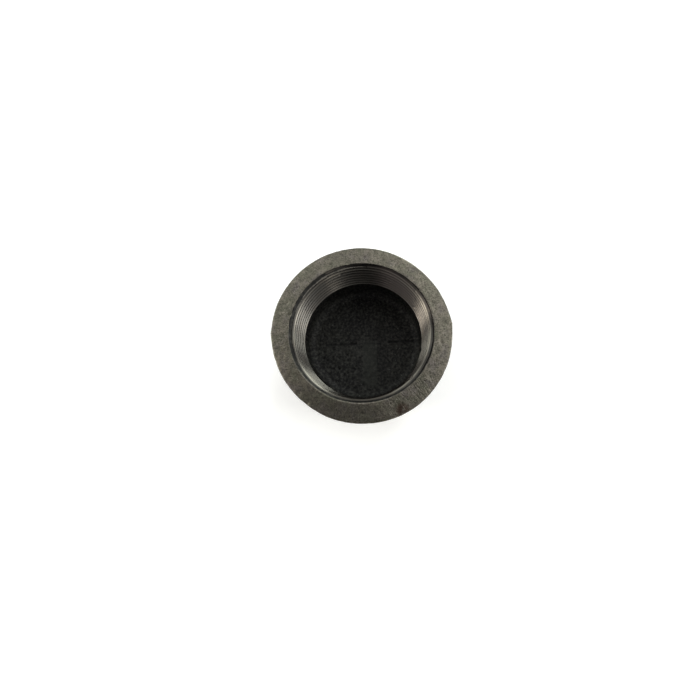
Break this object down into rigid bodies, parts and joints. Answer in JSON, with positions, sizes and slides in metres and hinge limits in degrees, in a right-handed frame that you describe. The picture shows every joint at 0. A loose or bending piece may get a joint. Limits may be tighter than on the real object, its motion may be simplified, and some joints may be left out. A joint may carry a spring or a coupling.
{
  "type": "pipe cap",
  "caption": "Round threaded pipe cap with a banded mouth, an internal parallel pipe thread and a closed flat end, for sealing the end of a pipe.",
  "frame": {"origin": "centre of the closed end's flat outside face, on the thread's axis", "axes": "+Z along the thread's axis, out of the mouth; the cap is round about it, so +X and +Y are free; the cap stands on its closed end"},
  "size_m": [0.0753, 0.0752, 0.0368],
  "materials": {
    "cast_iron": "rough as-cast grey iron, with the thread cut bright and satin",
    "black_skin": "rough matt black scale and varnish"
  },
  "bodies": {
    "root": {"cap_casting": "cast_iron", "inner_black_skin": "black_skin"}
  },
  "joints": []
}
